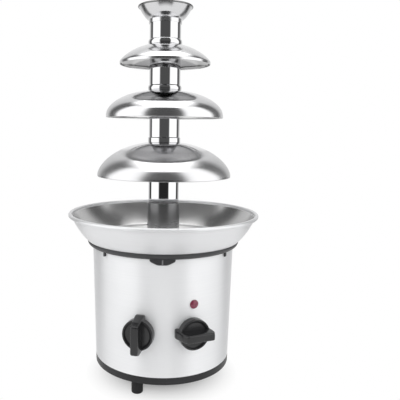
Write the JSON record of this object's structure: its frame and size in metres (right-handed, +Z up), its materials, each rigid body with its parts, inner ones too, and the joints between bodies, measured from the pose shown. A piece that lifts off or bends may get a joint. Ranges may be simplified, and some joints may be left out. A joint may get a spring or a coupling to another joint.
{
  "type": "chocolate fountain",
  "caption": "Chocolate fountain: steel drum base with knobs, heated bowl, and a lift-off tower of domes and a crown cup fed by a motor-driven auger.",
  "frame": {"origin": "on the floor under the tower's axis, at the level of the foot pads", "axes": "+Z up along the tower, -Y towards the front with the knobs, +X to the right seen from the front"},
  "size_m": [0.238, 0.238, 0.476],
  "materials": {
    "polished_steel": "mirror-polished stainless steel",
    "satin_steel": "satin stainless steel",
    "auger_steel": "turned stainless steel",
    "plain_steel": "plain zinc-plated steel",
    "lamination_steel": "stacked dark laminations",
    "heater_steel": "heat-darkened steel sheath",
    "cast_aluminium": "cast, matt",
    "bearing_bronze": "sintered bronze and brass",
    "coil_wire": "enamelled copper winding",
    "gear_plastic": "moulded",
    "switch_plastic": "moulded, heat resistant",
    "black_plastic": "fine matt grain",
    "knob_plastic": "satin black",
    "collar_plastic": "dark grey, fine grain",
    "foot_rubber": "matt black",
    "seal_rubber": "heat-resistant silicone",
    "red_lens": "clear dark red"
  },
  "bodies": {
    "base": {"housing_drum": "satin_steel", "bowl": "satin_steel", "tower_socket": "satin_steel", "hanging_studs": "plain_steel", "stud_spacers": "plain_steel", "stud_nuts": "plain_steel", "tie_bosses": "plain_steel", "tie_rods": "plain_steel", "tie_nuts": "plain_steel", "gearbox_screws": "plain_steel", "idler_pin": "plain_steel", "motor_bracket": "plain_steel", "motor_spacers": "plain_steel", "motor_screws": "plain_steel", "control_nuts": "plain_steel", "stator_core": "lamination_steel", "heater_ring": "heater_steel", "gearbox_case": "cast_aluminium", "gearbox_cover": "cast_aluminium", "heat_spreader": "cast_aluminium", "output_bushes": "bearing_bronze", "rotor_bushes": "bearing_bronze", "foot_inserts": "bearing_bronze", "motor_coil": "coil_wire", "motor_switch": "switch_plastic", "thermostat": "switch_plastic", "lamp_body": "switch_plastic", "terminal_block": "switch_plastic", "coil_bobbin": "switch_plastic", "thermal_fuse": "switch_plastic", "base_pan": "black_plastic", "cord_inlet": "black_plastic", "collar_ring": "collar_plastic", "shaft_seal": "seal_rubber", "lamp_lens": "red_lens"},
    "output": {"output_shaft": "plain_steel", "output_gear": "gear_plastic", "drive_dog": "auger_steel"},
    "idler": {"idler_gear": "gear_plastic"},
    "rotor": {"rotor_shaft": "plain_steel", "rotor_core": "lamination_steel", "motor_fan": "black_plastic"},
    "auger": {"auger_hub": "auger_steel", "auger_core": "auger_steel", "auger_flight": "auger_steel"},
    "tower": {"lower_tube": "polished_steel", "large_dome": "polished_steel"},
    "medium_tier": {"middle_tube": "polished_steel", "medium_dome": "polished_steel"},
    "small_tier": {"upper_tube": "polished_steel", "small_dome": "polished_steel"},
    "crown": {"crown_tube": "polished_steel", "crown_cup": "polished_steel"},
    "motor_control": {"motor_knob": "knob_plastic", "motor_spindle": "plain_steel"},
    "heat_control": {"heat_knob": "knob_plastic", "heat_spindle": "plain_steel"},
    "foot_left": {"foot_left": "foot_rubber"},
    "foot_right": {"foot_right": "foot_rubber"},
    "foot_rear": {"foot_rear": "foot_rubber"}
  },
  "joints": [
    {"name": "motor_spin", "type": "hinge", "parent": "base", "child": "rotor", "pos_m": [0, 0.0216, 0.11], "axis": [0, 0, 1], "continuous": true},
    {"name": "idler_spin", "type": "hinge", "parent": "base", "child": "idler", "pos_m": [0.0288, 0.0216, 0.145], "axis": [0, 0, 1], "continuous": true},
    {"name": "auger_spin", "type": "hinge", "parent": "base", "child": "output", "pos_m": [0, 0, 0.15], "axis": [0, 0, 1], "continuous": true},
    {"name": "auger_lift", "type": "slide", "parent": "output", "child": "auger", "axis": [0, 0, 1], "range_m": [0, 0.12]},
    {"name": "tower_lift", "type": "slide", "parent": "base", "child": "tower", "axis": [0, 0, 1], "range_m": [0, 0.08]},
    {"name": "medium_tier_lift", "type": "slide", "parent": "tower", "child": "medium_tier", "axis": [0, 0, 1], "range_m": [0, 0.05]},
    {"name": "small_tier_lift", "type": "slide", "parent": "medium_tier", "child": "small_tier", "axis": [0, 0, 1], "range_m": [0, 0.05]},
    {"name": "crown_lift", "type": "slide", "parent": "small_tier", "child": "crown", "axis": [0, 0, 1], "range_m": [0, 0.05]},
    {"name": "motor_knob_turn", "type": "hinge", "parent": "base", "child": "motor_control", "pos_m": [-0.02754, -0.08232, 0.086], "axis": [0.3173, 0.9483, 0], "range_deg": [0, 90]},
    {"name": "heat_knob_turn", "type": "hinge", "parent": "base", "child": "heat_control", "pos_m": [0.02754, -0.08232, 0.086], "axis": [-0.3173, 0.9483, 0], "range_deg": [-270, 0]},
    {"name": "foot_left_screw", "type": "slide", "parent": "base", "child": "foot_left", "axis": [0, 0, -1], "range_m": [0, 0.008]},
    {"name": "foot_right_screw", "type": "slide", "parent": "base", "child": "foot_right", "axis": [0, 0, -1], "range_m": [0, 0.008]},
    {"name": "foot_rear_screw", "type": "slide", "parent": "base", "child": "foot_rear", "axis": [0, 0, -1], "range_m": [0, 0.008]}
  ],
  "couplings": [
    {"joint": "idler_spin", "follows": "motor_spin", "ratio": -0.2},
    {"joint": "auger_spin", "follows": "motor_spin", "ratio": 0.04}
  ]
}
